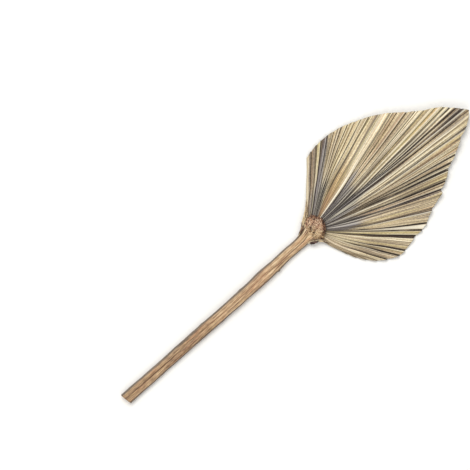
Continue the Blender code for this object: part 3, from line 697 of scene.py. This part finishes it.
def makeStrands():
    # fibres combed over the knot from the ribs' roots to the stem, and dark bristles at its rim
    dice = random.Random(19)
    paths, tones = [], []
    for _ in range(knot["strands"]):
        azimuth = math.radians(dice.uniform(-100, 120))
        reach = float(knotReach(azimuth))
        start = dice.uniform(0.62, 0.98)
        x0, y0 = (reach * start * f(azimuth) for f in (math.sin, math.cos))
        x2, y2 = x0 * dice.uniform(0.2, 0.55) + dice.uniform(-1.2, 1.2), dice.uniform(-19.0, -5.0)
        x1, y1 = x0 * dice.uniform(0.45, 0.75), y0 * 0.45 - dice.uniform(0, 3)
        length, size = dice.uniform(0.3, 1.0), dice.uniform(0.14, 0.36)
        path = []
        for share in np.linspace(0, 1, 13):
            t = share * length
            x = x0 * (1 - t) ** 2 + 2 * x1 * t * (1 - t) + x2 * t * t
            y = y0 * (1 - t) ** 2 + 2 * y1 * t * (1 - t) + y2 * t * t
            x += 0.25 * math.sin(share * 15.6 + azimuth * 9)
            taper = math.sin(math.pi * (0.06 + 0.9 * share)) ** 0.6
            z = max(float(knotTop(x, y)), 7.5 - 0.05 * x * x) + dice.uniform(0.05, 0.3)
            pitless = min(smoothstep(0.7, 1.3, math.hypot(x - px, y - py) / radius)
                          for px, py, radius, _ in knot["pits"])
            path.append((x, y, z, size * taper * max(pitless, 0.05)))
        paths.append(path)
        tones.append(dice.choice((0.18, 0.34, 0.58, 0.74, 0.86)) + dice.uniform(-0.08, 0.08))
    for _ in range(knot["bristles"]):
        azimuth = math.radians(dice.uniform(-78, 108))
        reach = float(knotReach(azimuth))
        lean = math.radians(dice.uniform(-9, 9))
        start, length = dice.uniform(0.80, 0.93), dice.uniform(0.12, 0.30)
        size = dice.uniform(0.16, 0.34)
        path = []
        for t in np.linspace(0, 1, 6):
            share, turn = start + length * t, azimuth + lean * t
            x, y = reach * share * math.sin(turn), reach * share * math.cos(turn)
            z = 10.4 - 1.5 * t - 2.2 * t * t + 0.6 * math.sin(turn * 17)
            path.append((x, y, z, size * (1.05 - 0.85 * t)))
        paths.append(path)
        tones.append(dice.uniform(0.0, 0.44))
    for _ in range(knot["shoulderFibres"]):  # over the collar's left shoulder, down to the stem
        x0, y0 = dice.uniform(-12.5, -3.5), dice.uniform(-7.5, -3.0)
        x2, y2 = dice.uniform(-5.0, -1.0), dice.uniform(-17, -11)
        size, path = dice.uniform(0.14, 0.30), []
        for t in np.linspace(0, 1, 8):
            x, y = x0 + (x2 - x0) * t ** 0.7, y0 + (y2 - y0) * t
            z = max(float(knotTop(x, y)), 7.6 - 0.05 * (x - 0.5) ** 2) + 0.15
            path.append((x, y, z, size * (1.1 - 0.9 * t)))
        paths.append(path)
        tones.append(dice.choice((0.0, 0.12, 0.24, 0.62)) + dice.uniform(-0.06, 0.06))
    points, faces = tubes(paths)
    newPiece("knotFibres", points, faces, knotPaintMade, None,
             {"plan": points[:, :2], "marks": single(tubeTones(paths, tones))})


knotPaintMade = knotPaint()
makeKnot()
makeStrands()


petiole = {
    # distance along the leaf's line, middle, width, thickness, rise off the floor, in mm
    "stations": [
        (-255.7, 8.8, 12.8, 8.6, 0.0), (-205.0, 7.5, 12.2, 8.2, 0.0), (-165.0, 6.3, 12.5, 8.2, 0.6),
        (-110.0, 4.9, 12.3, 7.8, 1.6), (-90.0, 4.2, 12.6, 7.8, 1.7), (-72.0, 3.4, 13.6, 8.2, 1.5),
        (-55.0, 2.5, 12.6, 7.6, 1.2), (-37.0, 1.6, 11.8, 7.2, 0.8), (-20.0, 1.1, 12.3, 7.2, 0.4),
        (-13.0, 0.3, 14.2, 7.8, 0.2), (-8.0, -0.4, 18.4, 7.6, 0.6), (-3.0, -0.6, 20.0, 5.4, 1.7),
        (3.0, -0.4, 15.0, 3.3, 2.6)],
    # right half of its section, from the top's middle down: shares of width and thickness
    "section": [
        (0.0, 0.925), (0.12, 0.99), (0.28, 0.95), (0.42, 0.74), (0.50, 0.45), (0.45, 0.20),
        (0.33, 0.05), (0.18, 0.0)],
    "cutSlant": 0.2,
    "girth": 34.0,
    "rings": 340,
    "sides": 108,
    "capRings": [0.97, 0.86, 0.68, 0.48, 0.28, 0.10],  # shares of the outline, over either end
    "bumps": [
        (-55.5, 1.0, 0.9, 1.5), (-150.0, -1.0, 0.4, 2.5), (-98.0, -1.0, 0.35, 2.0),
        (-212.0, 1.0, 0.35, 3.0), (-131.0, 1.0, 0.3, 2.5)],  # along, side, height, length
}


def roundSection(count):
    half = petiole["section"]
    loop = np.array(half + [(-x, z) for x, z in half[:0:-1]])
    at = np.linspace(0, len(loop), count, endpoint=False)
    i = at.astype(int)
    t = (at - i)[:, None]
    p0, p1, p2, p3 = (loop[(i + k) % len(loop)] for k in (-1, 0, 1, 2))
    return 0.5 * (2 * p1 + (p2 - p0) * t + (2 * p0 - 5 * p1 + 4 * p2 - p3) * t ** 2
                  + (3 * p1 - p0 - 3 * p2 + p3) * t ** 3)


def stemPaint():
    p = Paint("dryLeafStem")
    across, along = p.uv("grain")
    side, level = p.uv("section")
    end, _ = p.uv("ends")

    def streak(perAcross, perAlong, seed, detail=2.0):
        found = p.grain(p.vector(across * perAcross, along * perAlong, seed), 1.0, detail)
        return p.ease(found, 0.26, 0.74) - 0.5

    bands = streak(0.28, 0.018, 2.0, 2.0)
    fibres = streak(0.62, 0.020, 6.0, 2.0)
    threads = streak(1.9, 0.05, 14.0, 1.0)
    mottle = streak(0.45, 0.16, 27.0, 3.0)
    swelling = p.ease(abs(along + 75.0), 20.0, 5.0)
    lowEnd = p.ease(along, -60.0, -170.0)
    value = 0.59 - lowEnd * 0.18 + bands * 0.16 + fibres * 0.38 + threads * 0.44 + mottle * 0.26
    wood = p.ramp(value, (0.0, 62, 44, 34), (0.2, 116, 88, 64), (0.4, 162, 130, 97),
                  (0.58, 191, 159, 122), (0.76, 214, 185, 146), (1.0, 238, 216, 180))
    rosy = p.ease(streak(0.5, 0.035, 38.0, 2.0) + swelling * 0.25, 0.05, 0.45)
    wood = p.mix(rosy * 0.55, wood, tint(240, 206, 192), "MULTIPLY")
    mossy = p.ease(streak(0.6, 0.03, 51.0, 2.0) - swelling * 0.4, 0.1, 0.45)
    wood = p.mix(mossy * 0.5, wood, tint(214, 214, 166), "MULTIPLY")

    # dark line along the middle, dark bands at both edges that are partly the stem's own colour and
    # partly painted shade where its sides turn away, dark fibres here and there
    top = p.ease(level, 0.5, 0.8)
    near = p.ease(along, -68.0, -50.0) * p.ease(along, -10.0, -18.0)
    far = p.ease(along, -178.0, -195.0)
    middle = (1 - p.ease(abs(side - near * 0.10 + bands * 0.03), 0.012, 0.062)) * top
    line = middle * (0.30 + near * 0.60 + far * 0.55) * p.ease(threads, -0.75, -0.25)
    wood = p.mix(line, wood, tint(80, 56, 34))
    # painted shade, with the stem's own darker edge colour, along both sides
    darkEdgeAndShade = p.mix(threads + fibres + 0.5, tint(40, 31, 26), tint(108, 88, 72))
    edge = p.ease(abs(side - 0.025) + fibres * 0.04 + threads * 0.03, 0.35, 0.44)
    wood = p.mix(edge * p.ease(level, 0.08, 0.40, 0.3, 1.0) * 0.94, wood, darkEdgeAndShade)
    shoulder = p.ease(along, -19.0, -9.0) * p.ease(side + threads * 0.10, 0.06, -0.20)
    wood = p.mix(shoulder * p.ease(threads + fibres * 0.5, 0.25, -0.20) * 0.9, wood, tint(70, 46, 34))
    cracks = p.ease(fibres + threads * 0.5, -0.42, -0.62)
    wood = p.mix(cracks * 0.7, wood, tint(92, 64, 46))
    grey = p.ease(side + bands * 0.08, -0.22, -0.42) * p.ease(along, -14.0, -45.0)
    wood = p.mix(grey * 0.4, wood, tint(134, 124, 110))

    # cut end: a pale pith full of dark fibre ends
    place = p.vector(across, along, level * 8.0)
    cells = p.node("ShaderNodeTexVoronoi", {}, {"Vector": place, "Scale": 2.1})
    spots = p.ease(cells, 0.20, 0.42)
    pith = p.mix(spots, tint(92, 64, 42), tint(196, 164, 124))
    colour = p.mix(end, wood, pith)
    relief = fibres * 0.6 + threads * 0.4 + bands * 0.3 - line * 0.6
    return p.wear(colour, 0.62 + fibres * 0.12, p.bump(relief, 0.3, 0.6))


def makePetiole():
    rings, sides = petiole["rings"], petiole["sides"]
    first, last = petiole["stations"][0][0], petiole["stations"][-1][0]
    along = np.linspace(first, last, rings)
    middle, width, thick, rise = flowing(petiole["stations"], along).T[..., None]
    share = roundSection(sides)
    around = np.linspace(0, math.tau, sides, endpoint=False)

    # lengthwise fibres, uneven edges and small bumps
    def rough(radius, perMm, seed):
        return wobble(triples(np.cos(around) * radius, np.sin(around) * radius,
                              along[:, None] * perMm), seed)

    push = rough(5.5, 0.012, 3.0) * 0.16 + rough(16, 0.02, 8.0) * 0.07 + rough(0.9, 0.06, 13.0) * 0.22
    for at, side, height, length in petiole["bumps"]:
        edge = np.clip(share[:, 0] * 2 * side, 0, 1) ** 6
        push += height * np.exp(-((along[:, None] - at) / length) ** 2) * edge[None]
    x, z = share[:, 0] * width, share[:, 1] * thick
    out = np.stack([x, z - thick * 0.48], -1)
    out /= np.linalg.norm(out, axis=-1)[..., None]
    x = middle + x + out[..., 0] * push
    z = np.maximum(rise + z + out[..., 1] * push, 0.0)
    nearCut = smoothstep(first + 8, first, along)[:, None]
    y = along[:, None] + nearCut * petiole["cutSlant"] * (x - middle)
    points = np.stack([x, y, z], -1)

    # close both ends, which bulge a little and are rough
    dice = np.random.default_rng(4)
    caps = []
    for ring, way in ((points[0], -1), (points[-1], 1)):
        centre = ring.mean(0)
        cap = np.array([centre + (ring - centre) * s + np.array([0, way * 0.25 * (1 - s), 0])
                        for s in petiole["capRings"]])
        cap[1:, :, 1] += dice.uniform(-0.10, 0.10, cap[1:, :, 1].shape)
        caps.append(cap)
    points = np.concatenate([caps[0][::-1], points, caps[1]])
    count, capped = len(points), len(petiole["capRings"])
    grain = np.stack(np.broadcast_arrays(around / math.tau * petiole["girth"], points[..., 1]), -1)
    grain[:capped] = points[:capped][..., [0, 2]]
    newPiece("driedStem", points.reshape(-1, 3), ringFaces(count, sides, False), stemPaint(),
             "petiole", {
                 "grain": grain.reshape(-1, 2),
                 "section": np.broadcast_to(share, (count, sides, 2)).reshape(-1, 2),
                 "ends": single(np.repeat(np.arange(count) < capped, sides))})


makePetiole()


# shrivelled strips beside the knot
curls = {
    # centre lines from the blade's margin down to the stem: x, y, z, half width in mm
    "leftPale": [
        (-30, 12.6, 4.6, 0.3), (-22.4, 6.4, 4.8, 1.2), (-16.8, 1.2, 5.2, 1.9), (-13.2, -4.0, 5.6, 2.0),
        (-10.4, -8.0, 5.8, 1.8), (-7.8, -11.6, 5.6, 1.4), (-5.6, -15.4, 5.2, 1.0),
        (-4.6, -20.5, 4.8, 0.3)],
    "leftDark": [
        (-15.0, -3.4, 4.8, 0.3), (-12.8, -6.2, 5.6, 0.9), (-10.2, -9.0, 6.4, 1.3),
        (-7.6, -12.4, 6.4, 1.3), (-5.2, -18.4, 5.4, 0.5)],
    "rightPale": [
        (21, 0.6, 4.8, 0.3), (16.6, -1.8, 5.0, 0.8), (13.2, -3.8, 5.6, 1.2), (10.6, -6.8, 6.0, 1.3),
        (8.4, -10.6, 5.6, 1.1), (6.6, -14.5, 5.2, 0.8), (5.8, -19.0, 4.8, 0.3)],
    "rightDark": [
        (13.4, -4.2, 5.2, 0.4), (11.8, -6.4, 6.2, 0.9), (10.6, -9.0, 6.6, 1.2), (9.4, -11.8, 6.2, 1.3),
        (7.8, -15.4, 5.2, 0.4)],
    "linePoints": 30,
    "paleFibres": 34,
    "darkFibres": {"leftDark": 30, "rightDark": 30},
    "threads": {"leftDark": 9, "rightDark": 12},
    "fading": {"leftDark": 0.55, "rightDark": 0.15},  # how pale the palest of them are
}


def bundle(path, count, size, dice):
    # thin fibres side by side along a centre line, which cross over each other
    table = np.array(path, float)
    at = np.arange(len(table), dtype=float)
    line = flowing(np.column_stack([at, table]), np.linspace(0, at[-1], curls["linePoints"]))
    centre, half = line[:, :3], np.maximum(line[:, 3:], 0.05)
    way = np.gradient(centre, axis=0)
    side = np.cross(way, (0, 0, 1.0))
    side /= np.linalg.norm(side, axis=1)[:, None]
    t = np.linspace(0, 1, len(line))[:, None]
    paths = []
    for _ in range(count):
        place, turn = dice.uniform(-1, 1), dice.uniform(0, math.tau)
        across = place * 0.75 + 0.35 * np.sin(turn + t * dice.uniform(2, 7))
        lift = (1 - place * place) * 0.7 + 0.3 * np.cos(turn * 3 + t * dice.uniform(3, 8))
        start, stop = dice.uniform(0, 0.3), dice.uniform(0.7, 1.0)
        radius = dice.uniform(*size) * np.sin(np.pi * (0.08 + 0.84 * t)) ** 0.5
        strand = np.hstack([centre + side * across * half + (0, 0, 1) * lift * half, radius])
        strand = strand[int(start * (len(line) - 1)):int(stop * (len(line) - 1)) + 1].copy()
        strand[[0, -1], 3] *= 0.4
        paths.append(strand)
    return paths


def curlPaint():
    p = Paint("shrivelledStrip")
    x, y = p.uv("plan")
    tone, _ = p.uv("marks")
    place = p.vector(x, y, tone * 5.0)
    fine = p.grain(place, 1.3, 3.0, 0.6, 0.4) - 0.5
    broad = p.grain(place, 0.35, 2.0) - 0.5
    value = tone + fine * 0.9 + broad * 0.6
    colour = p.ramp(value, (0.0, 40, 24, 20), (0.2, 74, 48, 40), (0.4, 122, 90, 70),
                    (0.6, 178, 152, 118), (0.8, 214, 194, 154), (1.0, 242, 226, 192))
    return p.wear(colour, 0.7 + fine * 0.3, p.bump(fine, 0.4, 0.7))


def makeCurl(name, node, pale, dark, seed):
    dice = random.Random(seed)
    paths = bundle(curls[pale], curls["paleFibres"], (0.18, 0.38), dice)
    tones = [dice.choice((0.12, 0.30, 0.62, 0.78, 0.92)) + dice.uniform(-0.08, 0.08) for _ in paths]
    darkPaths = bundle(curls[dark], curls["darkFibres"][dark], (0.20, 0.42), dice)
    line = np.array(curls[dark], float)
    for _ in range(curls["threads"][dark]):
        x, y, z, _ = line[dice.randrange(1, len(line) - 1)]
        outward = math.copysign(1.0, x) * dice.uniform(-0.6, 1.5)
        drop = dice.uniform(-3.8, -1.4)
        darkPaths.append([(x + outward * t, y + drop * t, z + 0.3 - 0.8 * t * t, 0.30 * (1.05 - t))
                          for t in np.linspace(0, 1, 6)])
    tones += [dice.uniform(-0.15, 0.22) + curls["fading"][dark] * dice.random() for _ in darkPaths]
    paths += darkPaths
    points, faces = tubes(paths)
    points[:, 2] = np.maximum(points[:, 2], 0.05)
    newPiece(name, points, faces, curlPaintMade, node,
             {"plan": points[:, :2], "marks": single(tubeTones(paths, tones))})


curlPaintMade = curlPaint()
makeCurl("leftCurl", "left_margin_curl", "leftPale", "leftDark", 31)
makeCurl("rightCurl", "right_margin_curl", "rightPale", "rightDark", 47)


stage = {
    "floorColour": tint(244, 243, 240),
    "floorRings": (0.4, 1.5, 7.0),  # of the level floor, in metres
    "floorSides": 96,
    "floorGap": 0.0001,
    "floorTurn": 3.0,  # radius of the curve that carries it up into the backdrop
    "backdrop": 4.0,  # height above the curve
    "cameraRoll": 50.0,  # degrees that the leaf's axis leans over in the view
    "cameraAim": (-46.7, -66.5),  # mm from the knot's middle
    "cameraWidth": 470.0,  # mm across the view, this far above the floor:
    "cameraLevel": 6.0,
    "cameraLens": 200.0,
    # lamps: place and size in metres, watts
    "softboxes": {"keySoftbox": ((-1.7, 0.5, 3.3), 2.0, 86),
                  "fillSoftbox": ((2.0, -1.4, 3.2), 2.4, 30)},
    "skyColour": (1.0, 0.995, 0.985, 1.0),
    "skyStrength": 0.62,
}


def makeFloor():
    profile = [(r, 0.0) for r in stage["floorRings"]]
    flat, turn, sides = profile[-1][0], stage["floorTurn"], stage["floorSides"]
    for angle in np.linspace(0, math.pi / 2, 13)[1:]:
        profile.append((flat + turn * math.sin(angle), turn * (1 - math.cos(angle))))
    profile.append((profile[-1][0], profile[-1][1] + stage["backdrop"]))
    level = cadBox[0].z - stage["floorGap"]
    points = [(r * math.cos(math.tau * i / sides), r * math.sin(math.tau * i / sides), z + level)
              for r, z in profile for i in range(sides)]
    mesh = bpy.data.meshes.new("floor")
    mesh.from_pydata(points, [], ringFaces(len(profile), sides)[:-1])  # open at the top
    mesh.shade_smooth()
    mesh.materials.append(Paint("floorPaint").wear(stage["floorColour"], 0.9))
    floor = bpy.data.objects.new("floor", mesh)
    bpy.context.collection.objects.link(floor)


def makeLights():
    for name, (place, size, watts) in stage["softboxes"].items():
        light = bpy.data.lights.new(name, "AREA")
        light.size, light.energy = size, watts
        lamp = bpy.data.objects.new(name, light)
        bpy.context.collection.objects.link(lamp)
        lamp.location = place
        lamp.rotation_euler = (-Vector(place)).to_track_quat("-Z", "Y").to_euler()
    world = bpy.data.worlds.new("studio")
    world.use_nodes = True
    sky = world.node_tree.nodes["Background"]
    sky.inputs["Color"].default_value = stage["skyColour"]
    sky.inputs["Strength"].default_value = stage["skyStrength"]
    bpy.context.scene.world = world
    bpy.context.scene.view_settings.view_transform = "Standard"


def makeCamera():
    data = bpy.data.cameras.new("camera")
    data.lens = stage["cameraLens"]
    camera = bpy.data.objects.new("camera", data)
    bpy.context.collection.objects.link(camera)
    above = stage["cameraWidth"] * mm * data.lens / data.sensor_width
    x, y = (c * mm for c in stage["cameraAim"])
    camera.location = (origin.x + x, origin.y + y, origin.z + stage["cameraLevel"] * mm + above)
    camera.rotation_euler = (0, 0, math.radians(stage["cameraRoll"]))
    data.clip_end = 100
    bpy.context.scene.camera = camera


makeFloor()
makeLights()
makeCamera()
print("stage set")
